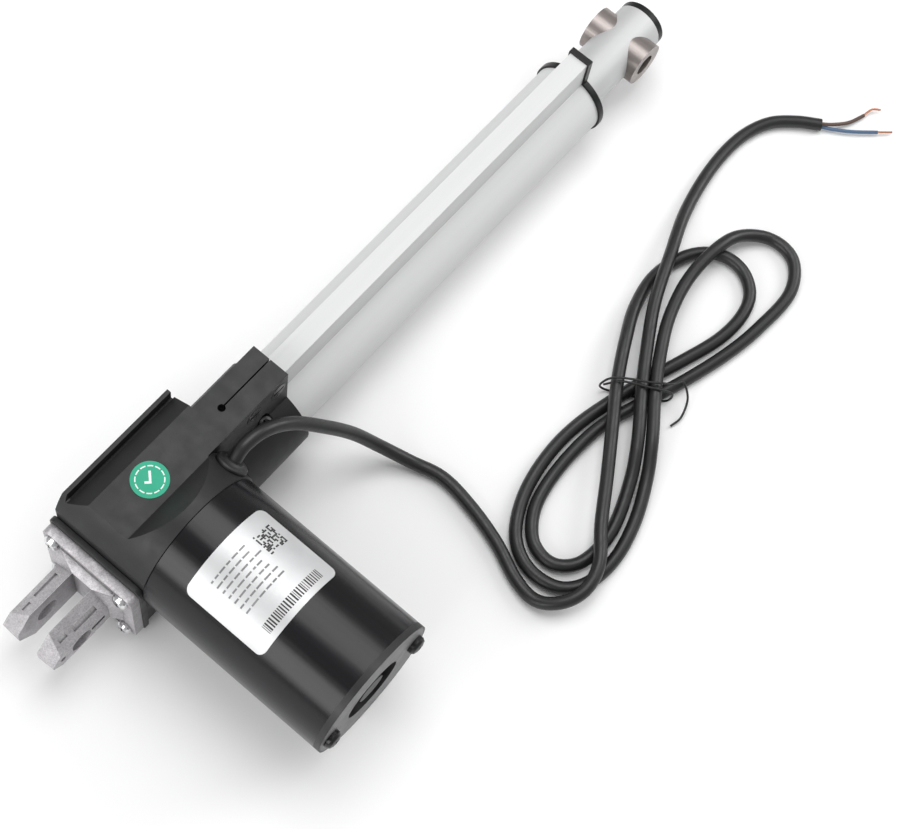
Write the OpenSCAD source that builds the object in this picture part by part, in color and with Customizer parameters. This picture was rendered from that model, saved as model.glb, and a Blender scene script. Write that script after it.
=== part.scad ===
// Linear actuator with a side-mounted motor, an extruded guide tube and a coiled two-core cord.
// Lies on its side. Origin: centre of the rear clevis bore. +X runs along the tube towards the
// front bush, the motor stands out towards -Y, and +Z is up.

/* [Stroke and mounting] */
// Travel of the rod
stroke = 200; // [50:10:300]
// Rear pin to front pin with the rod in
pin_span = 360; // [300:1:400]
// Bore of both mounting holes
pin_bore = 10.2; // [8:0.1:12.2]

/* [Guide tube] */
// Outside diameter of the round part
tube_d = 34; // [30:0.5:40]
// Wall thickness
tube_wall = 2.5; // [2:0.1:3.5]
// Width of the rib
rib_w = 9.2; // [8:0.1:12]
// Height of the rib's top above the tube axis
rib_top = 31.6; // [28:0.1:36]
// Front end of the tube
tube_end = 322; // [300:1:340]

/* [Rod] */
// Outside diameter
rod_d = 23; // [18:0.5:25]
// Bore
rod_bore = 17; // [12:0.5:18]
// Rod end past the front pin
rod_past_pin = 14.4; // [12:0.1:20]
// Diameter of the cross bush
bush_d = 20.6; // [18:0.1:24]
// Length of the cross bush
bush_len = 29.6; // [26:0.1:34]

/* [Gearbox] */
// Motor axis ahead of the rear pin
motor_x = 55; // [50:0.5:60]
// Motor axis above the screw axis
centre_distance = 20; // [18:0.5:22]
// Radius of the motor neck and rounded back
neck_r = 31.5; // [30:0.1:34]
// Height of the flat top
top_z = 42.2; // [38:0.1:45]
// Front of the gearbox block
block_front = 88; // [84:0.5:92]
// Front of the tube collar
collar_front = 123.4; // [110:0.1:130]
// Outside radius of the collar
collar_r = 21.4; // [20:0.1:23]
// Half width of the collar's upright part
collar_half = 9; // [8:0.1:11]

/* [Motor] */
// Diameter of the can
can_d = 61.5; // [58:0.5:66]
// Length of the can
can_len = 86.5; // [70:0.5:100]
// Thickness of the end plate
end_plate = 2.8; // [2:0.1:4]

/* [Clevis] */
// Width and height of the plate
plate_w = 46.4; // [44:0.1:50]
plate_h = 42; // [40:0.1:46]
// Gap between the ears
ear_gap = 10; // [8:0.1:12]
// Outside width over the ears
ear_out = 26.8; // [24:0.1:30]

/* [Cord] */
// Diameter of the jacket
cord_d = 5.8; // [5:0.1:7]
// Height of the surface the part lies on
table_z = -24; // [-26:0.5:-22]

/* [Hidden] */
$fn = 48;
tube_r = tube_d / 2;
tube_in = tube_r - tube_wall;
rod_r = rod_d / 2;
bore_r = pin_bore / 2;
can_r = can_d / 2;
mx = motor_x;
mz = centre_distance;
joint_y = -24;                          // face where the motor meets the neck
can_end = joint_y - can_len;
motor_end = can_end - end_plate;
plate_back = 18.5;
plate_front = 22.9;
cover_front = 25.6;
tube_start = 80;
nut_back = 82;
rod_back = 92;
rod_end = pin_span + rod_past_pin;
screw_end = nut_back + stroke + 19;
lead = 4;                               // screw lead
worm_ratio = 28;                        // wheel teeth to one worm start
clear = 0.05;                           // fixed parts that nest
block_side = 22;
lip_z = 39.8;
plate_screw = [17.8, 16.8];             // clevis screws, off the axis in Y and Z
end_screw_x = 24.3;                     // the motor's long screws, either side of its axis
end_recess = 13.7;                      // radius of the recess in the end plate
foot_angle = 28;                        // lean of the clamp screw from upright
bolt_x = [103.9, 117.9];                // clamp bolts along the collar
bolt_z = 34.8;
gland_at = [82, -16.5, 36];             // middle of the gland's seat on the motor neck
gland_tilt = 52;                        // lean of the gland from upright, towards the front

// Cord heights: on the table, and lying over another strand
low = table_z + cord_d / 2 + 0.1;
high = low + cord_d + 0.4;

// Centre line of the cord from the gland to the cut end
cord_route = [
    [83.5, -16.5, 37], [91, -16, 40], [102, -17.5, 38.5], [113, -21.5, 31], [124, -28, 18],
    [135, -35, 2], [143, -44, -12], [149, -57, -19.5], [153, -71, low], [151, -88, low], [146, -106, low],
    [139, -122, low], [137, -134, -20], [142, -143, -17], [152, -147.5, high], [165, -145, high],
    [179, -135, high], [197, -124, high], [216, -112, high], [235, -100, high], [254, -90, high],
    [271, -83, -18], [290, -80, low], [308, -85, low], [318, -95, low], [319, -107, low],
    [312, -117, low], [300, -121, low], [284, -120, low], [264, -114, low], [240, -106, low],
    [212, -99, low], [190, -98, low], [169, -102, low], [153, -111, low], [146, -124, low],
    [148, -138, low], [158, -146, low], [174, -148, low], [193, -144, low], [211, -136, -19],
    [225, -127, high], [241, -116, high], [256, -107, high], [275, -98, high], [296, -93, high],
    [317, -93.5, high], [331, -97.5, -18], [340.5, -108.5, low], [338.5, -122, low], [324, -130.5, low],
    [300, -130, low], [281, -127, low], [259, -121, low], [239, -114, low], [218, -107, low],
    [199, -105, low], [180, -106, low], [166, -110, low], [156, -118.5, low], [154.5, -130, low],
    [163.5, -138.5, low], [182, -139.5, low], [204, -132, -19], [220, -123, high], [238, -111, high],
    [256, -100, high], [276, -89, high], [299, -80, high], [324, -71, -19], [350, -66, low],
    [372, -66, low], [388, -71, low], [398, -80, low], [405, -90, low]
];
brown_route = [[404, -88.8, low + 0.9], [409, -94, low], [416, -99, low - 1], [424, -102, low - 1]];
blue_route = [[404, -89.2, low - 0.9], [408, -96, low - 1], [413, -103, low - 1], [421, -112, low - 1]];
brown_copper = [[423.5, -101.8, low - 1], [429, -103, low - 0.5], [432, -106, low - 1]];
blue_copper = [[420.7, -111.6, low - 1], [426, -117, low - 1.2]];
tie_route = [
    [231, -96, -17], [235, -102, -11.2], [241, -113, -11.2], [246, -121, -13.5], [245, -120, -22],
    [238, -108, -23.3], [232, -97, -22.5], [230, -95, -16], [234, -99, -9.9], [242, -111, -9.9],
    [249, -119, -11.5], [255, -121, -16], [252, -127, -20], [244, -130, -22], [238, -129, -23]
];

// A cylinder along X from x0 to x1
module along_x(r, x0, x1, y = 0, z = 0) {
    translate([x0, y, z])
        rotate([0, 90, 0])
            cylinder(r = r, h = x1 - x0);
}

// A cylinder along Y from y0 to y1
module along_y(r, y0, y1, x = mx, z = mz) {
    translate([x, y1, z])
        rotate([90, 0, 0])
            cylinder(r = r, h = y1 - y0);
}

// A ring along X
module ring_x(r_out, r_in, x0, x1) {
    difference() {
        along_x(r_out, x0, x1);
        along_x(r_in, x0 - 1, x1 + 1);
    }
}

// A ring along Y on the motor axis
module ring_y(r_out, r_in, y0, y1) {
    difference() {
        along_y(r_out, y0, y1);
        along_y(r_in, y0 - 1, y1 + 1);
    }
}

// A drawing in Y (across) and Z (up), extruded along X
module extrude_x(x0, x1) {
    translate([x0, 0, 0])
        rotate([90, 0, 90])
            linear_extrude(x1 - x0)
                children();
}

// A box between two corners
module box(a, b) {
    translate(a)
        cube(b - a);
}

// An oblong with rounded corners, centred
module rounded(w, h, r) {
    translate([r - w / 2, -h / 2])
        square([w - 2 * r, h]);
    translate([-w / 2, r - h / 2])
        square([w, h - 2 * r]);
    for (x = [-1, 1], y = [-1, 1])
        translate([x * (w / 2 - r), y * (h / 2 - r)])
            circle(r);
}

// The gland's own frame: +Z points out of the housing
module at_gland() {
    translate(gland_at)
        rotate([0, gland_tilt, 0])
            children();
}

// The two places of the motor's long screws
module at_motor_screws(y) {
    for (s = [-1, 1])
        translate([mx + s * end_screw_x, y, mz])
            rotate([90, 0, 0])
                children();
}

// The four places of the clevis screws
module at_plate_screws(x) {
    for (y = [-1, 1], z = [-1, 1])
        translate([x, y * plate_screw[0], z * plate_screw[1]])
            children();
}

// A pan head with a cross recess, its back on the origin and its top towards +Z
module pan_head(r, h) {
    difference() {
        rotate_extrude()
            polygon([[0, 0], [r, 0], [r, h * 0.5], [r * 0.82, h * 0.86], [r * 0.5, h], [0, h]]);
        for (a = [0, 90])
            rotate(a)
                translate([-r * 0.5, -r * 0.12, h * 0.45])
                    cube([r, r * 0.24, h]);
    }
}

// A round bead swept through a list of points, its rings turned towards a fixed direction, up
function unit(v) = v / norm(v);
function course(p, i) = unit(p[min(i + 1, len(p) - 1)] - p[max(i - 1, 0)]);
function bead_ring(p, i, r, n, up) = let (t = course(p, i), s = unit(cross(t, up)), u = cross(s, t))
    [for (k = [0:n - 1]) p[i] + r * cos(360 * k / n) * s + r * sin(360 * k / n) * u];
module bead(p, d, n, up = [0, 0, 1]) {
    last = len(p) - 1;
    corners = [for (i = [0:last]) each bead_ring(p, i, d / 2, n, up)];
    walls = [for (i = [0:last - 1], k = [0:n - 1]) let (m = (k + 1) % n)
        each [[i * n + k, i * n + m, i * n + n + m], [i * n + k, i * n + n + m, i * n + n + k]]];
    ends = [[for (k = [0:n - 1]) n - 1 - k], [for (k = [0:n - 1]) last * n + k]];
    polyhedron(corners, concat(walls, ends));
}

// Outline of the gearbox above the screw axis: flat top, sloped gutter and side lip
module top_outline() {
    polygon([[-collar_half, 0], [-collar_half, top_z], [10.5, top_z], [18.6, 37.6], [19.2, 37.6],
        [20, lip_z], [block_side, lip_z], [block_side, 0]]);
}

// Outline of the motor neck seen from the front: the ramp up to it rises at 42 degrees
module neck_outline() {
    polygon([[joint_y, -15], [joint_y, 55.3], [-9.5, top_z], [1, top_z], [1, -15]]);
}

module housing_body() {
    intersection() {
        along_y(neck_r, joint_y, block_side);
        extrude_x(cover_front, 90) {
            top_outline();
            neck_outline();
        }
    }
    extrude_x(mx, block_front)
        top_outline();
    translate([0, 0, -1])
        extrude_x(cover_front, block_front)
            rounded(2 * block_side, 46, 4);
    extrude_x(60, collar_front) {
        circle(collar_r);
        translate([-collar_half, 0])
            square([2 * collar_half, top_z]);
    }
    at_gland()
        translate([0, 0, -14])
            cylinder(r = 7.2, h = 14);
}

module gearbox_housing() {
    color([0.2, 0.2, 0.21])
        difference() {
            housing_body();
            // screw bore, wheel chamber and worm bore
            along_x(14.05, cover_front - 1, 41);
            along_x(17.5, 40.9, 68);
            along_x(14.05, 67.9, 76);
            along_x(9, 75.9, 81);
            along_y(7.5, joint_y - 1, 14);
            along_y(6.05, 13.9, 18.5);
            // tube pocket
            extrude_x(tube_start, collar_front + 1) {
                circle(tube_r + clear);
                translate([-rib_w / 2 - clear, 0])
                    square([rib_w + 2 * clear, rib_top + clear]);
            }
            // clamp slit with a round end
            box([95.5, 0.2, rib_top - 1], [collar_front + 1, 0.8, top_z + 1]);
            translate([95.5, 0.5, rib_top - 1])
                cylinder(r = 1.6, h = 15);
            // clamp bolts, seating screw and clevis screws
            for (x = bolt_x) {
                along_y(2.1, -8, 7, x, bolt_z);
                along_y(4.1, -10, -7.9, x, bolt_z);
            }
            translate([109, 0, 0])
                rotate([foot_angle, 0, 0]) {
                    translate([0, 0, 16])
                        cylinder(r = 1.6, h = 10);
                    translate([0, 0, 20.5])
                        cylinder(r = 4, h = 8);
                }
            at_plate_screws(cover_front - 1)
                rotate([0, 90, 0])
                    cylinder(r = 2.05, h = 13);
            at_motor_screws(joint_y + 4)
                cylinder(r = 1.8, h = 5);
            // seat and hole of the cable gland, and the cable's way to the motor
            at_gland() {
                cylinder(r = 7.2, h = 12);
                translate([0, 0, -9])
                    cylinder(r = 5, h = 10);
            }
            along_y(3.2, joint_y - 1, -15, 75.5, 31);
            // groove beside the lip
            box([31, 18.4, 34.5], [block_front + 1, 20.2, top_z]);
        }
}

module rear_cover() {
    color([0.22, 0.22, 0.23])
        difference() {
            translate([0, 0, 1])
                extrude_x(plate_front, cover_front)
                    rounded(47.6, 46, 3.5);
            at_plate_screws(plate_front - 1)
                rotate([0, 90, 0])
                    cylinder(r = 2.05, h = 5);
        }
}

// One ear: wide at the gap, narrow outside, with a cut-back tip
module ear() {
    hull() {
        translate([0, ear_gap / 2 + 0.1, 0])
            rotate([90, 0, 0])
                linear_extrude(0.1)
                    polygon([[plate_back + 1, -12], [plate_back + 1, 12], [-8, 12], [-15.5, 3.3],
                        [-15.5, -3.3], [-8, -12]]);
        translate([0, ear_out / 2, 0])
            rotate([90, 0, 0])
                linear_extrude(0.1)
                    polygon([[plate_back + 1, -6], [plate_back + 1, 6], [-11, 5.6], [-15.5, 1],
                        [-15.5, -1], [-11, -5.6]]);
    }
}

module rear_clevis() {
    color([0.72, 0.7, 0.72])
        difference() {
            union() {
                extrude_x(plate_back, plate_front)
                    rounded(plate_w, plate_h, 2.5);
                // flared root of the ears, and a low ridge over it
                hull() {
                    extrude_x(plate_back - 0.05, plate_back + 0.5)
                        rounded(34.6, 28.4, 4);
                    extrude_x(15, 15.3)
                        polygon([[-5, -12.1], [5, -12.1], [13.5, -6.1], [13.5, 6.1],
                            [5, 12.1], [-5, 12.1], [-13.5, 6.1], [-13.5, -6.1]]);
                }
                for (s = [-1, 1])
                    box([plate_back - 0.7, -13.5, s * 17.6 - 0.6], [plate_back + 0.1, 13.5, s * 17.6 + 0.6]);
                box([15.3, -ear_gap / 2 - 1, -12], [plate_back + 1, ear_gap / 2 + 1, 12]);
                ear();
                mirror([0, 1, 0])
                    ear();
            }
            along_y(bore_r, -20, 20, 0, 0);
            at_plate_screws(plate_back - 3)
                rotate([0, 90, 0])
                    cylinder(r = 2.05, h = 9);
            // sinks in the outer faces of the ears
            for (s = [-1, 1]) {
                translate([5.5, s * 10.6, 8.6])
                    rotate([s * 38, 0, 0])
                        cube([12, 1.9, 2.3], center = true);
                translate([-5.6, s * 9.9, 9.2])
                    rotate([s * 38, 0, 0])
                        cube([4, 1.9, 2.3], center = true);
                translate([9.2, s * 13, 0.8])
                    cube([7, 2.2, 2.4], center = true);
                along_y(1.3, s * 12.6 - 1, s * 12.6 + 1, -10, 0);
            }
        }
}

module clevis_screws() {
    color([0.85, 0.85, 0.86])
        at_plate_screws(plate_back)
            rotate([0, -90, 0]) {
                pan_head(3.5, 2.6);
                translate([0, 0, -17])
                    cylinder(r = 2, h = 17.5);
            }
}

module outer_tube() {
    color([0.8, 0.8, 0.81])
        extrude_x(tube_start, tube_end)
            difference() {
                union() {
                    circle(tube_r);
                    translate([-rib_w / 2, 0])
                        square([rib_w, rib_top]);
                }
                circle(tube_in);
                translate([-2.3, 0])
                    square([4.6, 20]);
                translate([-3.1, 18])
                    square([6.2, rib_top - 20.2]);
            }
}

module tube_end_cap() {
    color([0.1, 0.1, 0.1])
        extrude_x(tube_end, tube_end + 3)
            difference() {
                union() {
                    circle(tube_r + 1);
                    translate([-rib_w / 2 - 0.9, 0])
                        square([rib_w + 1.8, rib_top + 0.9]);
                }
                circle(13.3);
            }
}

module guide_bush() {
    color([0.85, 0.83, 0.75])
        ring_x(tube_in - clear, rod_r + clear, 303, tube_end - 0.1);
}

module wiper_ring() {
    color([0.06, 0.06, 0.06])
        ring_x(13.25, rod_r + 0.08, tube_end + 0.2, tube_end + 2.6);
}

module switch_strip() {
    color([0.1, 0.35, 0.2])
        box([84, -3, 27.6], [316, 3, 28.9]);
    color([0.7, 0.8, 0.7])
        for (x = [84, 284])
            along_x(1.2, x, x + 15, 0, 26.3);
}

module clamp_bolts() {
    color([0.12, 0.12, 0.13])
        for (x = bolt_x)
            difference() {
                union() {
                    along_y(4, -9.2, -8, x, bolt_z);
                    along_y(2, -8.1, 6.9, x, bolt_z);
                }
                box([x - 2.8, -10, bolt_z - 0.6], [x + 2.8, -8.5, bolt_z + 0.6]);
            }
}

module seating_screw() {
    color([0.1, 0.1, 0.1])
        translate([109, 0, 0])
            rotate([foot_angle, 0, 0])
                translate([0, 0, 20.55]) {
                    pan_head(3.5, 2.7);
                    translate([0, 0, -3.3])
                        cylinder(r = 1.5, h = 3.5);
                }
}

module outer_races() {
    color([0.75, 0.76, 0.78])
        for (x = [33, 68])
            ring_x(14, 11, x, x + 8);
}

module motor_can() {
    color([0.1, 0.1, 0.11])
        ring_y(can_r, can_r - 2, can_end, joint_y);
}

module motor_magnets() {
    color([0.3, 0.3, 0.32])
        translate([mx, -42, mz])
            rotate([90, 0, 0])
                for (a = [30, 210])
                    rotate(a)
                        rotate_extrude(angle = 120)
                            translate([18.6, 0])
                                square([can_r - 2.1 - 18.6, 52]);
}

module motor_front_plate() {
    color([0.5, 0.5, 0.52])
        difference() {
            ring_y(can_r - 2 - clear, 5.1, joint_y - 3, joint_y - 0.1);
            along_y(3.2, joint_y - 4, joint_y, 75.5, 31);
            at_motor_screws(joint_y + 1)
                cylinder(r = 1.8, h = 5);
        }
}

module motor_end_plate() {
    color([0.25, 0.25, 0.26])
        difference() {
            union() {
                difference() {
                    along_y(can_r, motor_end, can_end);
                    along_y(end_recess, motor_end - 1, can_end + 1);
                }
                // cup behind the recess, with the bearing boss in its middle
                ring_y(end_recess + 1.8, end_recess, can_end - 0.1, -107.6);
                along_y(end_recess + 1.8, -109.2, -107.6);
                along_y(6.5, motor_end + 0.6, -107.6);
            }
            at_motor_screws(can_end + 1)
                cylinder(r = 1.8, h = end_plate + 2);
            along_y(4.1, -111, -107);
        }
}

module motor_end_screws() {
    color([0.08, 0.08, 0.08])
        at_motor_screws(motor_end - 0.02) {
            pan_head(4, 3.1);
            translate([0, 0, motor_end - joint_y - 3.6])
                cylinder(r = 1.75, h = joint_y - motor_end + 3.8);
        }
}

module motor_bushes() {
    color([0.7, 0.55, 0.3]) {
        ring_y(6, 3.05, 14.1, 18.4);
        ring_y(5.05, 3.05, joint_y - 3, joint_y - 0.1);
        ring_y(4.05, 3.05, -110.9, can_end + 0.9);
    }
}

module brush_holder() {
    color([0.45, 0.3, 0.15])
        difference() {
            along_y(can_r - 2.1, -105, -103);
            along_y(10, -106, -102);
            for (s = [-1, 1])
                box([mx + min(s * 9, s * 22), -106, mz - 2.6], [mx + max(s * 9, s * 22), -102, mz + 2.6]);
            at_motor_screws(-102)
                cylinder(r = 1.9, h = 4);
        }
}

module brushes() {
    color([0.2, 0.2, 0.2])
        for (s = [-1, 1])
            box([mx + min(s * 9.4, s * 20), -105, mz - 2.5], [mx + max(s * 9.4, s * 20), -100, mz + 2.5]);
}

module cable_gland() {
    color([0.09, 0.09, 0.09])
        at_gland()
            rotate_extrude()
                polygon([[0, -8.5], [4.9, -8.5], [4.9, 0.05], [6.9, 0.05], [6.9, 1.3], [6.4, 1.9],
                    [5.2, 2.2], [3.9, 2.9], [0, 2.9]]);
}

module power_cord() {
    color([0.07, 0.07, 0.07])
        bead(cord_route, cord_d, 10);
}

module brown_wire() {
    color([0.4, 0.22, 0.15])
        bead(brown_route, 1.7, 8);
}

module blue_wire() {
    color([0.3, 0.45, 0.62])
        bead(blue_route, 1.7, 8);
}

module copper_ends() {
    color([0.72, 0.42, 0.3]) {
        bead(brown_copper, 1.1, 8);
        bead(blue_copper, 1.1, 8);
    }
}

module cord_tie() {
    color([0.05, 0.05, 0.05])
        bead(tie_route, 1, 6, [25, 14, 0]);
}

module rating_label() {
    color([0.85, 0.86, 0.88])
        intersection() {
            ring_y(can_r + 0.22, can_r + 0.02, -77.4, -38.6);
            translate([mx, -58, mz])
                rotate([0, -4, 0])
                    linear_extrude(40)
                        rounded(42.8, 38.8, 3);
        }
}

module inspection_sticker() {
    color([0.25, 0.75, 0.55])
        translate([55.6, 0.6, top_z + 0.02])
            cylinder(r = 7.6, h = 0.2);
}

module piston_rod() {
    color([0.82, 0.82, 0.83])
        difference() {
            along_x(rod_r, rod_back, rod_end);
            along_x(rod_bore / 2, rod_back - 1, rod_end + 1);
            along_y(bush_d / 2 + clear, -20, 20, pin_span, 0);
        }
}

module rod_end_cap() {
    color([0.08, 0.08, 0.08]) {
        along_x(rod_r, rod_end, rod_end + 3);
        along_x(rod_bore / 2 - clear, rod_end - 3, rod_end + 1);
    }
}

module cross_bush() {
    color([0.68, 0.62, 0.6])
        difference() {
            along_y(bush_d / 2, -bush_len / 2, bush_len / 2, pin_span, 0);
            along_y(bore_r, -20, 20, pin_span, 0);
        }
}

module drive_nut() {
    color([0.9, 0.88, 0.8])
        difference() {
            union() {
                along_x(tube_in - 0.4, nut_back, rod_back);
                along_x(rod_bore / 2 - clear, rod_back - 1, rod_back + 8);
                box([nut_back, -1.9, 10], [rod_back, 1.9, 18.6]);
            }
            along_x(6.05, nut_back - 1, rod_back + 9);
        }
}

module switch_magnet() {
    color([0.4, 0.4, 0.42])
        box([nut_back + 1, -1.9, 18.62], [nut_back + 9, 1.9, 22]);
}

module lead_screw() {
    color([0.6, 0.6, 0.62])
        difference() {
            along_x(6, 27.5, screw_end);
            // thread drawn as plain grooves on the length the nut leaves uncovered
            for (x = [104:lead * 2:screw_end - 6])
                ring_x(7, 5.2, x, x + 2);
        }
}

module worm_wheel() {
    color([0.85, 0.8, 0.62])
        difference() {
            along_x(14.5, mx - 6, mx + 6);
            along_x(6.02, mx - 7, mx + 7);
            for (i = [0:worm_ratio - 1])
                rotate([i * 360 / worm_ratio, 0, 0])
                    box([mx - 7, -0.75, 12.4], [mx + 7, 0.75, 16]);
        }
}

module lock_nut() {
    color([0.6, 0.6, 0.6])
        difference() {
            translate([28.5, 0, 0])
                rotate([0, 90, 0])
                    cylinder(r = 10, h = 4, $fn = 6);
            along_x(6.02, 27, 34);
        }
}

module inner_races() {
    color([0.78, 0.79, 0.8])
        for (x = [33, 68])
            ring_x(8.2, 6.02, x, x + 8);
}

module worm_shaft() {
    color([0.65, 0.65, 0.67])
        difference() {
            union() {
                along_y(3, -109.6, 18);
                along_y(5.1, -12, 12);
            }
            for (y = [-10:4:8])
                ring_y(6, 4, y, y + 2);
        }
}

module armature_core() {
    color([0.45, 0.45, 0.47])
        difference() {
            along_y(17.6, -88, -48);
            along_y(3.02, -89, -47);
            for (i = [0:11])
                translate([mx, 0, mz])
                    rotate([0, i * 30, 0])
                        box([-1, -89, 13], [1, -47, 19]);
        }
}

module armature_windings() {
    color([0.72, 0.38, 0.18]) {
        ring_y(15.5, 3.02, -94, -88.02);
        ring_y(15.5, 3.02, -47.98, -42);
    }
}

module commutator() {
    color([0.75, 0.45, 0.25])
        ring_y(9, 3.02, -107, -97);
}

gearbox_housing();
rear_cover();
rear_clevis();
clevis_screws();
outer_tube();
tube_end_cap();
guide_bush();
wiper_ring();
switch_strip();
clamp_bolts();
seating_screw();
outer_races();
motor_can();
motor_magnets();
motor_front_plate();
motor_end_plate();
motor_end_screws();
motor_bushes();
brush_holder();
brushes();
cable_gland();
power_cord();
brown_wire();
blue_wire();
copper_ends();
cord_tie();
rating_label();
inspection_sticker();
piston_rod();
rod_end_cap();
cross_bush();
drive_nut();
switch_magnet();
lead_screw();
worm_wheel();
lock_nut();
inner_races();
worm_shaft();
armature_core();
armature_windings();
commutator();
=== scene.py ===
import math

import bmesh
import bpy
from mathutils import Matrix, Vector


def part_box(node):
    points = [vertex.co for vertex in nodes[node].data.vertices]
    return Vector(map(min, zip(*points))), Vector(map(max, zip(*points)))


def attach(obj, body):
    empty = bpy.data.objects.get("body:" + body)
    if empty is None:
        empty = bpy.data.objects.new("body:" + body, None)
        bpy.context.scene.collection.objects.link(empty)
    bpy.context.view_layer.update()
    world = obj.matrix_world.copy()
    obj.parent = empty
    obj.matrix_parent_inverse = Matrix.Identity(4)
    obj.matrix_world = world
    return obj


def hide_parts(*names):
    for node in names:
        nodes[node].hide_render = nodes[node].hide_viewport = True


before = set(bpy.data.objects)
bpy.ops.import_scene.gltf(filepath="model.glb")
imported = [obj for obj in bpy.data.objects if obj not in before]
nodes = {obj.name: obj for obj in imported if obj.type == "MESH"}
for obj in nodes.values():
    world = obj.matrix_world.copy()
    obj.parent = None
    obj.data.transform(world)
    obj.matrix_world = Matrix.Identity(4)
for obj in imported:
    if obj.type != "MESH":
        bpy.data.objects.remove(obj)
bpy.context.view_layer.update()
MM = 0.001


# ---------------------------------------------------------------- driving sizes, in metres
TABLE_Z = -24 * MM
CORD_D = 5.8 * MM
LOW = TABLE_Z + CORD_D / 2 + 0.1 * MM     # cord lying on the table
HIGH = LOW + CORD_D + 0.4 * MM            # cord lying over another strand
MOTOR_X, MOTOR_Z = 55 * MM, 20 * MM
CAN_R = (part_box("motor_can")[1].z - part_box("motor_can")[0].z) / 2
LABEL_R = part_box("rating_label")[1].z - MOTOR_Z
STICKER_X, STICKER_Y = 55.6 * MM, 0.6 * MM
RECESS_R = 14 * MM                        # recess in the motor's end, coloured black: partly its own dark paint, partly painted shade
RIM_W = 0.9 * MM                          # black rim round it


# ---------------------------------------------------------------- camera and light
def make_camera():
    data = bpy.data.cameras.new("camera")
    data.lens = 77.1
    data.sensor_width = 36
    data.clip_start, data.clip_end = 0.05, 20
    cam = bpy.data.objects.new("camera", data)
    bpy.context.collection.objects.link(cam)
    spot, aim = Vector((-0.1127, -0.1993, 0.7398)), Vector((0.1791, -0.0554, -0.024))
    back = (spot - aim).normalized()
    right = Vector((0.6854, 0.6217, 0.3791)).cross(back).normalized()
    up = back.cross(right)
    cam.matrix_world = Matrix.Translation(spot) @ Matrix((right, up, back)).transposed().to_4x4()
    bpy.context.scene.camera = cam


def make_light(name, spot, aim, size, watts):
    data = bpy.data.lights.new(name, "AREA")
    data.shape, data.size, data.size_y = "RECTANGLE", size[0], size[1]
    data.energy = watts
    lamp = bpy.data.objects.new(name, data)
    lamp.location = spot
    lamp.rotation_euler = (Vector(aim) - Vector(spot)).to_track_quat("-Z", "Y").to_euler()
    bpy.context.collection.objects.link(lamp)


make_camera()
middle = Vector((0.15, -0.03, 0))
make_light("overhead_softbox", middle + 1.2 * Vector((0.22, 0.15, 0.96)), middle, (0.8, 0.9), 7.5)
make_light("side_softbox", middle + 1.2 * Vector((-0.88, 0.14, 0.45)), middle, (0.8, 0.7), 7)
make_light("front_softbox", middle + 1.3 * Vector((0.8, -0.35, 0.5)), middle, (0.7, 0.7), 6)

world = bpy.data.worlds.new("studio")
bpy.context.scene.world = world
world.use_nodes = True
world.node_tree.nodes["Background"].inputs["Color"].default_value = (1, 1, 1, 1)
world.node_tree.nodes["Background"].inputs["Strength"].default_value = 0.45
bpy.context.scene.view_settings.view_transform = "Standard"


# ---------------------------------------------------------------- materials
class Shade:
    """A material under construction: a Principled shader and short ways to feed it."""

    def __init__(self, name, **values):
        self.mat = bpy.data.materials.new(name)
        self.mat.use_nodes = True
        self.tree = self.mat.node_tree
        self.shader = self.tree.nodes["Principled BSDF"]
        for key, value in values.items():
            self.shader.inputs[key.replace("_", " ")].default_value = value

    def node(self, kind, **inputs):
        made = self.tree.nodes.new(kind)
        for key, value in inputs.items():
            socket = made.inputs[key.replace("_", " ")]
            if hasattr(value, "is_output"):
                self.tree.links.new(value, socket)
            else:
                socket.default_value = value
        return made

    def place(self, scale=(1, 1, 1)):
        """Object coordinates, stretched by scale."""
        made = self.tree.nodes.new("ShaderNodeMapping")
        made.inputs["Scale"].default_value = scale
        coords = self.tree.nodes.new("ShaderNodeTexCoord")
        self.tree.links.new(coords.outputs["Object"], made.inputs["Vector"])
        return made.outputs["Vector"]

    def noise(self, scale, stretch=(1, 1, 1), detail=3.0, roughness=0.5):
        made = self.node("ShaderNodeTexNoise", Vector=self.place(stretch), Scale=scale,
                         Detail=detail, Roughness=roughness)
        return made.outputs["Fac"]

    def blend(self, fac, low, high, at=(0.3, 0.7)):
        """A colour from low to high as fac goes between the two places in at."""
        ramp = self.node("ShaderNodeValToRGB", Fac=fac)
        ramp.color_ramp.elements[0].position, ramp.color_ramp.elements[1].position = at
        ramp.color_ramp.elements[0].color = (*low, 1)
        ramp.color_ramp.elements[1].color = (*high, 1)
        return ramp.outputs["Color"]

    def span(self, fac, low, high):
        made = self.node("ShaderNodeMapRange", Value=fac, To_Min=low, To_Max=high)
        made.inputs["From Min"].default_value, made.inputs["From Max"].default_value = 0.3, 0.7
        return made.outputs["Result"]

    def mix(self, fac, low, high, kind="MIX"):
        """One colour socket with another, blended by fac, a number or a socket."""
        made = self.node("ShaderNodeMix")
        made.data_type, made.blend_type = "RGBA", kind
        factor, first, second = made.inputs[0], made.inputs[6], made.inputs[7]
        if hasattr(fac, "is_output"):
            self.tree.links.new(fac, factor)
        else:
            factor.default_value = fac
        self.tree.links.new(low, first)
        self.tree.links.new(high, second)
        return made.outputs[2]

    def color(self, socket):
        self.tree.links.new(socket, self.shader.inputs["Base Color"])

    def rough(self, socket):
        self.tree.links.new(socket, self.shader.inputs["Roughness"])

    def bump(self, height, distance, strength=1.0):
        made = self.node("ShaderNodeBump", Height=height, Distance=distance, Strength=strength)
        self.tree.links.new(made.outputs["Normal"], self.shader.inputs["Normal"])


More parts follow.
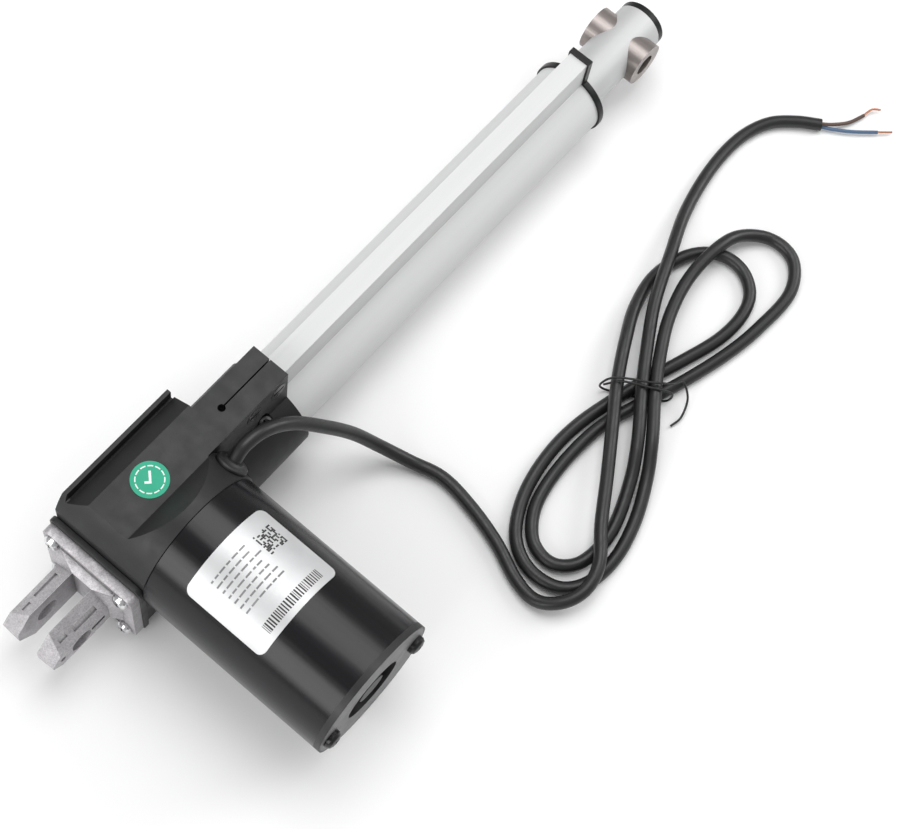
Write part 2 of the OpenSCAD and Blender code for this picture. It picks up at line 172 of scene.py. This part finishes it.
def grained(name, low, high, rough=(0.45, 0.6), grain=900, depth=0.05 * MM, metal=0.0, **values):
    """A moulded or cast surface: mottled colour, uneven gloss and a fine grain."""
    s = Shade(name, Metallic=metal, **values)
    cloud = s.noise(60, detail=4)
    s.color(s.blend(cloud, low, high))
    s.rough(s.span(s.noise(150), *rough))
    s.bump(s.noise(grain, detail=2), depth, 0.5)
    return s


def streaked(name, low, high, rough, axis, fine=0.02 * MM, metal=1.0, **values):
    """A drawn or turned surface: streaks along one axis."""
    s = Shade(name, Metallic=metal, **values)
    stretch = [1, 1, 1]
    stretch[axis] = 0.02
    lines = s.noise(700, stretch, detail=2)
    s.color(s.blend(s.noise(90, stretch), low, high))
    s.rough(s.span(lines, *rough))
    s.bump(lines, fine, 0.35)
    return s


def cast_colour_and_painted_shade():
    """Die-cast zinc: a fine speckle over a mottled grey, with painted shade darkening the corners."""
    s = Shade("die_cast_and_painted_shade", Metallic=0.45)
    speck = s.noise(1600, detail=3, roughness=0.7)
    mottle = s.blend(s.noise(240, detail=5, roughness=0.7), (0.46, 0.445, 0.46), (0.60, 0.58, 0.60),
                     (0.32, 0.68))
    bright = s.blend(speck, (0.68, 0.68, 0.68), (1, 1, 1), (0.36, 0.60))
    # Ambient occlusion darkens the base colour in corners and tight gaps: painted shade.
    painted_corner_shade = s.node("ShaderNodeAmbientOcclusion", Color=s.mix(1, mottle, bright, "MULTIPLY"),
                    Distance=4 * MM)
    painted_corner_shade.samples = 6
    s.color(painted_corner_shade.outputs["Color"])
    s.rough(s.span(s.noise(300), 0.36, 0.56))
    s.bump(s.noise(1100, detail=3), 0.07 * MM, 0.6)
    return s


charcoal = grained("charcoal_moulding", (0.009, 0.009, 0.0095), (0.014, 0.014, 0.0145), (0.42, 0.54),
                   Specular_IOR_Level=0.42)
cover_black = grained("cover_moulding", (0.014, 0.014, 0.015), (0.020, 0.020, 0.021), (0.42, 0.55))
satin_black = grained("satin_black_moulding", (0.003, 0.003, 0.0035), (0.006, 0.006, 0.0065),
                      (0.30, 0.40), Specular_IOR_Level=0.32)
cast_grey_and_painted_shade = cast_colour_and_painted_shade()
anodised = streaked("anodised_tube", (0.63, 0.635, 0.635), (0.68, 0.685, 0.685), (0.60, 0.70), 0,
                    metal=0.2, Specular_IOR_Level=0.35)
rod_metal = streaked("anodised_rod", (0.54, 0.545, 0.545), (0.59, 0.595, 0.595), (0.48, 0.56), 0,
                     metal=0.35, Specular_IOR_Level=0.35)
can_black = streaked("can_paint", (0.0025, 0.0025, 0.003), (0.0045, 0.004, 0.006), (0.20, 0.27), 1,
                     metal=0.0, Specular_IOR_Level=0.34)
turned = streaked("turned_steel", (0.20, 0.18, 0.172), (0.36, 0.32, 0.305), (0.30, 0.44), 1, metal=0.85)
zinc = grained("zinc_plate", (0.66, 0.66, 0.68), (0.82, 0.82, 0.83), (0.16, 0.26), 500, 0.02 * MM, 1.0)
black_oxide = grained("black_oxide", (0.010, 0.010, 0.010), (0.022, 0.022, 0.022), (0.24, 0.36), 700,
                      0.02 * MM, 0.3)
rubber = grained("rubber", (0.009, 0.009, 0.0095), (0.014, 0.014, 0.0145), (0.42, 0.55), 500)
steel = grained("bearing_steel", (0.5, 0.5, 0.52), (0.62, 0.62, 0.64), (0.2, 0.3), 500, 0.02 * MM, 1.0)
natural = grained("bearing_plastic", (0.62, 0.60, 0.52), (0.72, 0.70, 0.62), (0.4, 0.5))
bronze = grained("bronze", (0.45, 0.30, 0.13), (0.55, 0.38, 0.18), (0.35, 0.45), 600, 0.03 * MM, 1.0)
copper = grained("copper", (0.62, 0.30, 0.20), (0.78, 0.42, 0.30), (0.25, 0.4), 900, 0.03 * MM, 1.0)
board = grained("circuit_board", (0.02, 0.12, 0.05), (0.03, 0.16, 0.07), (0.3, 0.4))
card = grained("brown_card", (0.22, 0.13, 0.06), (0.30, 0.18, 0.09), (0.6, 0.7))
ferrite = grained("ferrite", (0.03, 0.03, 0.032), (0.06, 0.06, 0.062), (0.6, 0.7))
silver_film = grained("silver_film", (0.56, 0.565, 0.57), (0.63, 0.635, 0.64), (0.42, 0.50), 900,
                      0.01 * MM, 0.5)
green_film = grained("green_film", (0.008, 0.33, 0.19), (0.012, 0.37, 0.22), (0.5, 0.6), 900, 0.01 * MM)
jacket = streaked("cord_jacket", (0.008, 0.008, 0.0085), (0.013, 0.013, 0.0135), (0.34, 0.46), 0,
                  metal=0.0)
brown_skin = grained("brown_insulation", (0.075, 0.045, 0.035), (0.11, 0.065, 0.05), (0.35, 0.45))
blue_skin = grained("blue_insulation", (0.06, 0.11, 0.19), (0.09, 0.15, 0.25), (0.35, 0.45))
white_ink = grained("white_ink", (0.72, 0.78, 0.75), (0.80, 0.86, 0.83), (0.5, 0.6), 900, 0.01 * MM)
dark_ink = grained("dark_ink", (0.012, 0.012, 0.012), (0.03, 0.03, 0.03), (0.5, 0.6), 900, 0.01 * MM)
grey_ink = grained("grey_ink", (0.12, 0.12, 0.125), (0.28, 0.28, 0.285), (0.5, 0.6), 900, 0.01 * MM)


def end_plate_colour_and_painted_shade():
    """Grey face with a black rolled rim and a black recess, split by the distance from the axis; the
    recess's black is partly its own dark paint and partly painted shade.
    """
    s = Shade("end_plate_colour_and_recess_shade")
    spread = 20         # the ramp runs from 0 to 1, so the metres are stretched
    near = s.node("ShaderNodeMapping", Vector=s.place(), Scale=(spread, 0, spread),
                  Location=(-spread * MOTOR_X, 0, -spread * MOTOR_Z))
    away = s.node("ShaderNodeVectorMath")
    away.operation = "LENGTH"
    s.tree.links.new(near.outputs["Vector"], away.inputs[0])
    # Black inside RECESS_R, partly the recess's own dark paint and partly painted shade; grey face out to
    # the rim; black rim beyond.
    split = s.node("ShaderNodeValToRGB", Fac=away.outputs["Value"])
    bands = split.color_ramp
    bands.interpolation = "CONSTANT"
    bands.elements[0].color, bands.elements[1].color = (0, 0, 0, 1), (1, 1, 1, 1)
    bands.elements[1].position = spread * RECESS_R
    bands.elements.new(spread * (CAN_R - RIM_W)).color = (0, 0, 0, 1)
    cloud = s.noise(200, detail=4)
    black = s.blend(cloud, (0.004, 0.004, 0.0045), (0.008, 0.008, 0.0085))
    grey = s.blend(cloud, (0.085, 0.085, 0.087), (0.115, 0.115, 0.117))
    s.color(s.mix(split.outputs["Color"], black, grey))
    s.rough(s.span(s.noise(150), 0.42, 0.52))
    s.bump(s.noise(900, detail=2), 0.03 * MM, 0.5)
    return s


end_colour_and_painted_shade = end_plate_colour_and_painted_shade()

FINISH = {
    charcoal: ["gearbox_housing"],
    cover_black: ["rear_cover"],
    cast_grey_and_painted_shade: ["rear_clevis"],
    zinc: ["clevis_screws"],
    anodised: ["outer_tube"],
    rod_metal: ["piston_rod"],
    satin_black: ["tube_end_cap", "rod_end_cap"],
    can_black: ["motor_can"],
    end_colour_and_painted_shade: ["motor_end_plate"],
    black_oxide: ["motor_end_screws", "clamp_bolts", "seating_screw"],
    turned: ["cross_bush"],
    rubber: ["cable_gland", "wiper_ring"],
    steel: ["outer_races", "inner_races", "lock_nut", "lead_screw", "worm_shaft", "motor_front_plate",
            "armature_core"],
    natural: ["guide_bush", "drive_nut", "worm_wheel"],
    bronze: ["motor_bushes"],
    copper: ["armature_windings", "commutator", "copper_ends"],
    board: ["switch_strip"],
    card: ["brush_holder"],
    ferrite: ["motor_magnets", "switch_magnet", "brushes"],
    silver_film: ["rating_label"],
    green_film: ["inspection_sticker"],
    jacket: ["power_cord", "cord_tie"],
    brown_skin: ["brown_wire"],
    blue_skin: ["blue_wire"],
}


def paint(obj, shade):
    obj.data.materials.clear()
    obj.data.materials.append(shade.mat)


for shade, names in FINISH.items():
    for name in names:
        paint(nodes[name], shade)


# ---------------------------------------------------------------- small tools
def smooth_course(points, steps):
    """A Catmull-Rom curve through the points."""
    p = [Vector(q) for q in points]
    p = [2 * p[0] - p[1], *p, 2 * p[-1] - p[-2]]
    out = []
    for a, b, c, d in zip(p, p[1:], p[2:], p[3:]):
        for i in range(steps):
            t = i / steps
            out.append(0.5 * (2 * b + (c - a) * t + (2 * a - 5 * b + 4 * c - d) * t * t
                              + (3 * b - a - 3 * c + d) * t ** 3))
    return [*out, p[-2]]


def length_of(points):
    return sum((b - a).length for a, b in zip(points, points[1:]))


def tube(name, points, diameter, shade):
    """A round curve along the points, riding on the housing."""
    data = bpy.data.curves.new(name, "CURVE")
    data.dimensions = "3D"
    data.bevel_depth, data.bevel_resolution, data.use_fill_caps = diameter / 2, 5, True
    line = data.splines.new("POLY")
    line.points.add(len(points) - 1)
    for place, at in zip(line.points, points):
        place.co = (*at, 1)
    line.use_smooth = True
    obj = bpy.data.objects.new(name, data)
    bpy.context.collection.objects.link(obj)
    paint(obj, shade)
    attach(obj, "housing")
    return obj


def metres(points):
    """Millimetres to metres, but a height that is already in metres stays."""
    return [(x * MM, y * MM, z if abs(z) < 1 else z * MM) for x, y, z in points]


# ---------------------------------------------------------------- cord, cores and tie
CORD_ROUTE = metres([
    (83.5, -16.5, 37), (91, -16, 40), (102, -17.5, 38.5), (113, -21.5, 31), (124, -28, 18),
    (135, -35, 2), (143, -44, -12), (149, -57, -19.5), (153, -71, LOW), (151, -88, LOW),
    (146, -106, LOW), (139, -122, LOW), (137, -134, -20), (142, -143, -17), (152, -147.5, HIGH),
    (165, -145, HIGH), (179, -135, HIGH), (197, -124, HIGH), (216, -112, HIGH), (235, -100, HIGH),
    (254, -90, HIGH), (271, -83, -18), (290, -80, LOW), (308, -85, LOW), (318, -95, LOW), (319, -107, LOW),
    (312, -117, LOW), (300, -121, LOW), (284, -120, LOW), (264, -114, LOW), (240, -106, LOW),
    (212, -99, LOW), (190, -98, LOW), (169, -102, LOW), (153, -111, LOW), (146, -124, LOW),
    (148, -138, LOW), (158, -146, LOW), (174, -148, LOW), (193, -144, LOW), (211, -136, -19),
    (225, -127, HIGH), (241, -116, HIGH), (256, -107, HIGH), (275, -98, HIGH), (296, -93, HIGH),
    (317, -93.5, HIGH), (331, -97.5, -18), (340.5, -108.5, LOW), (338.5, -122, LOW), (324, -130.5, LOW),
    (300, -130, LOW), (281, -127, LOW), (259, -121, LOW), (239, -114, LOW), (218, -107, LOW),
    (199, -105, LOW), (180, -106, LOW), (166, -110, LOW), (156, -118.5, LOW), (154.5, -130, LOW),
    (163.5, -138.5, LOW), (182, -139.5, LOW), (204, -132, -19), (220, -123, HIGH), (238, -111, HIGH),
    (256, -100, HIGH), (276, -89, HIGH), (299, -80, HIGH), (324, -71, -19), (350, -66, LOW),
    (372, -66, LOW), (388, -71, LOW), (398, -80, LOW), (405, -90, LOW),
])
cord_line = [Vector((p.x, p.y, max(p.z, LOW))) for p in smooth_course(CORD_ROUTE, 6)]
cord = tube("cord_run", cord_line, CORD_D, jacket)
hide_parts("power_cord")

BROWN_ROUTE = metres([(404, -88.8, LOW + 0.9 * MM), (409, -94, LOW), (416, -99, LOW - 1 * MM),
                      (424, -102, LOW - 1 * MM)])
BLUE_ROUTE = metres([(404, -89.2, LOW - 0.9 * MM), (408, -96, LOW - 1 * MM), (413, -103, LOW - 1 * MM),
                     (421, -112, LOW - 1 * MM)])
BROWN_TIP = metres([(423.5, -101.8, LOW - 1 * MM), (429, -103, LOW - 0.5 * MM),
                    (432, -106, LOW - 1 * MM)])
BLUE_TIP = metres([(420.7, -111.6, LOW - 1 * MM), (426, -117, LOW - 1.2 * MM)])
TIE_ROUTE = metres([
    (231, -96, -17), (235, -102, -11.2), (241, -113, -11.2), (246, -121, -13.5), (245, -120, -22),
    (238, -108, -23.3), (232, -97, -22.5), (230, -95, -16), (234, -99, -9.9), (242, -111, -9.9),
    (249, -119, -11.5), (255, -121, -16), (252, -127, -20), (244, -130, -22), (238, -129, -23),
])


def strands(name, points, width, count, shade):
    """A bundle of fine twisted wires along the points, as one mesh of closed round strands."""
    mesh = bmesh.new()
    fine = width / 3.1
    course = smooth_course(points, 8)
    total = length_of(course)
    for n in range(count):
        rings = []
        run = 0
        for i, at in enumerate(course):
            ahead = course[min(i + 1, len(course) - 1)] - course[max(i - 1, 0)]
            side = ahead.cross(Vector((0, 0, 1))).normalized()
            rise = side.cross(ahead).normalized()
            run += (at - course[i - 1]).length if i else 0
            turn = math.tau * n / max(count - 1, 1) + 2.2 * run / total
            out = 0 if n == 0 else width / 2 - fine / 2 + (0.12 * fine * math.sin(5 * n) * run / total)
            mid = at + out * (math.cos(turn) * side + math.sin(turn) * rise)
            rings.append([mesh.verts.new(mid + fine / 2 * (math.cos(k * math.tau / 8) * side
                                                          + math.sin(k * math.tau / 8) * rise))
                          for k in range(8)])
        for r, q in zip(rings, rings[1:]):
            for k in range(8):
                mesh.faces.new((r[k], r[(k + 1) % 8], q[(k + 1) % 8], q[k])).smooth = True
        mesh.faces.new(rings[0][::-1])
        mesh.faces.new(rings[-1])
    bmesh.ops.recalc_face_normals(mesh, faces=mesh.faces)
    return solid(name, mesh, shade)


def solid(name, mesh, shade):
    """A new mesh piece, riding on the housing."""
    data = bpy.data.meshes.new(name)
    mesh.to_mesh(data)
    mesh.free()
    obj = bpy.data.objects.new(name, data)
    bpy.context.collection.objects.link(obj)
    paint(obj, shade)
    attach(obj, "housing")
    return obj


brown_core = tube("brown_core", smooth_course(BROWN_ROUTE, 8), 1.7 * MM, brown_skin)
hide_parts("brown_wire")
blue_core = tube("blue_core", smooth_course(BLUE_ROUTE, 8), 1.7 * MM, blue_skin)
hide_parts("blue_wire")
brown_strands = strands("brown_strands", BROWN_TIP, 1.1 * MM, 7, copper)
blue_strands = strands("blue_strands", BLUE_TIP, 1.1 * MM, 7, copper)
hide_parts("copper_ends")
tie = tube("twist_tie", smooth_course(TIE_ROUTE, 8), 1.0 * MM, jacket)
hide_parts("cord_tie")
print("cord length", round(length_of(cord_line), 4))


# ---------------------------------------------------------------- marks on the label and the sticker
def wrapped(mesh, across, along, size, parts=None):
    """A closed thin plate bent round the motor: across is measured round the can from its top."""
    parts = parts or max(1, round(size[0] / (1.2 * MM)))
    inner, outer = LABEL_R - 0.03 * MM, LABEL_R + 0.04 * MM
    rows = []
    for i in range(parts + 1):
        turn = (across - size[0] / 2 + size[0] * i / parts) / LABEL_R
        spot = []
        for r in (inner, outer):
            for y in (along - size[1] / 2, along + size[1] / 2):
                x, z = MOTOR_X + r * math.sin(turn), MOTOR_Z + r * math.cos(turn)
                spot.append(mesh.verts.new((x, y, z)))
        rows.append(spot)
    for p, q in zip(rows, rows[1:]):
        for a, b in ((0, 1), (1, 3), (3, 2), (2, 0)):
            mesh.faces.new((p[a], p[b], q[b], q[a]))
    mesh.faces.new((rows[0][0], rows[0][2], rows[0][3], rows[0][1]))
    mesh.faces.new((rows[-1][0], rows[-1][1], rows[-1][3], rows[-1][2]))


def fixed_numbers(seed):
    """A small fixed sequence of numbers from 0 to 1."""
    state = [seed]

    def step():
        state[0] = (state[0] * 16807) % 2147483647
        return state[0] / 2147483647
    return step


def label_marks():
    """Plain dashes, a patch of squares and a row of bars: no letters and no readable code."""
    grey, dark = bmesh.new(), bmesh.new()
    left, dashes_end, bars_end = -16 * MM, 3 * MM, 15 * MM
    cells, cell = 13, 0.75 * MM
    pick = fixed_numbers(7)
    for line in range(7):
        at = left
        while at < dashes_end:
            wide = (1.2 + 2.6 * pick()) * MM
            wrapped(grey, at + wide / 2, (-45.5 - 2.9 * line) * MM, (wide, 0.75 * MM))
            at += wide + (0.6 + 0.5 * pick()) * MM
    for i in range(cells):
        for j in range(cells):
            if pick() < 0.5:
                wrapped(dark, 7.5 * MM + cell * i, -46 * MM - cell * j, (0.70 * MM, 0.70 * MM), parts=1)
    at = left
    while at < bars_end:
        wide = (0.22 + 0.5 * pick()) * MM
        wrapped(dark, at + wide / 2, -72.5 * MM, (wide, 4.2 * MM), parts=1)
        at += wide + (0.3 + 0.5 * pick()) * MM
    for mesh in (grey, dark):
        bmesh.ops.recalc_face_normals(mesh, faces=mesh.faces)
    solid("label_dashes", grey, grey_ink)
    solid("label_patch", dark, dark_ink)


def sticker_marks():
    """A thin white ring and a plain tick on the round sticker."""
    mesh = bmesh.new()
    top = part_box("inspection_sticker")[1].z
    low, high = top - 0.03 * MM, top + 0.05 * MM

    def plate(outline):
        under = [mesh.verts.new((STICKER_X + x * MM, STICKER_Y + y * MM, low)) for x, y in outline]
        over = [mesh.verts.new((STICKER_X + x * MM, STICKER_Y + y * MM, high)) for x, y in outline]
        mesh.faces.new(under[::-1])
        mesh.faces.new(over)
        n = len(outline)
        for i in range(n):
            mesh.faces.new((under[i], under[(i + 1) % n], over[(i + 1) % n], over[i]))

    plate([(-2.6, 0.3), (-1.9, 1.0), (-0.7, -0.2), (2.2, 2.9), (2.9, 2.2), (-0.7, -1.6)])
    steps, inside, outside = 48, 5.4, 5.9
    for i in range(steps):
        a, b = math.tau * i / steps, math.tau * (i + 1) / steps
        if i % 4 == 3:
            continue
        plate([(r * math.cos(t), r * math.sin(t))
               for r, t in ((inside, a), (outside, a), (outside, b), (inside, b))])
    bmesh.ops.recalc_face_normals(mesh, faces=mesh.faces)
    solid("sticker_marks", mesh, white_ink)


label_marks()
sticker_marks()


# ---------------------------------------------------------------- rounded edges on the frame's parts
def soften(name, width, segments=2, angle=30):
    """Welds the frame's split edges and rounds the sharp ones, leaving the mesh itself alone."""
    obj = nodes[name]
    weld = obj.modifiers.new("weld", "WELD")
    weld.merge_threshold = 0.002 * MM
    bevel = obj.modifiers.new("bevel", "BEVEL")
    bevel.width, bevel.segments, bevel.limit_method = width, segments, "ANGLE"
    bevel.angle_limit = math.radians(angle)
    bevel.use_clamp_overlap = True
    even = obj.modifiers.new("even_shading", "WEIGHTED_NORMAL")
    even.weight, even.keep_sharp = 50, True


for name, width in {
    "gearbox_housing": 0.5 * MM, "rear_cover": 0.4 * MM, "rear_clevis": 0.25 * MM,
    "tube_end_cap": 0.3 * MM, "motor_end_plate": 0.3 * MM, "rod_end_cap": 0.5 * MM,
    "clevis_screws": 0.15 * MM, "motor_end_screws": 0.2 * MM, "seating_screw": 0.15 * MM,
    "clamp_bolts": 0.15 * MM, "cable_gland": 0.3 * MM,
}.items():
    soften(name, width)


# ---------------------------------------------------------------- floor
def make_floor():
    mesh = bpy.data.meshes.new("floor")
    reach = 3
    mesh.from_pydata([(-reach, -reach, TABLE_Z), (reach, -reach, TABLE_Z), (reach, reach, TABLE_Z),
                      (-reach, reach, TABLE_Z)], [], [(0, 1, 2, 3)])
    floor = bpy.data.objects.new("floor", mesh)
    bpy.context.collection.objects.link(floor)
    s = Shade("pale_floor", Roughness=0.7)
    s.color(s.blend(s.noise(3), (0.90, 0.90, 0.90), (0.93, 0.93, 0.93)))
    paint(floor, s)


make_floor()
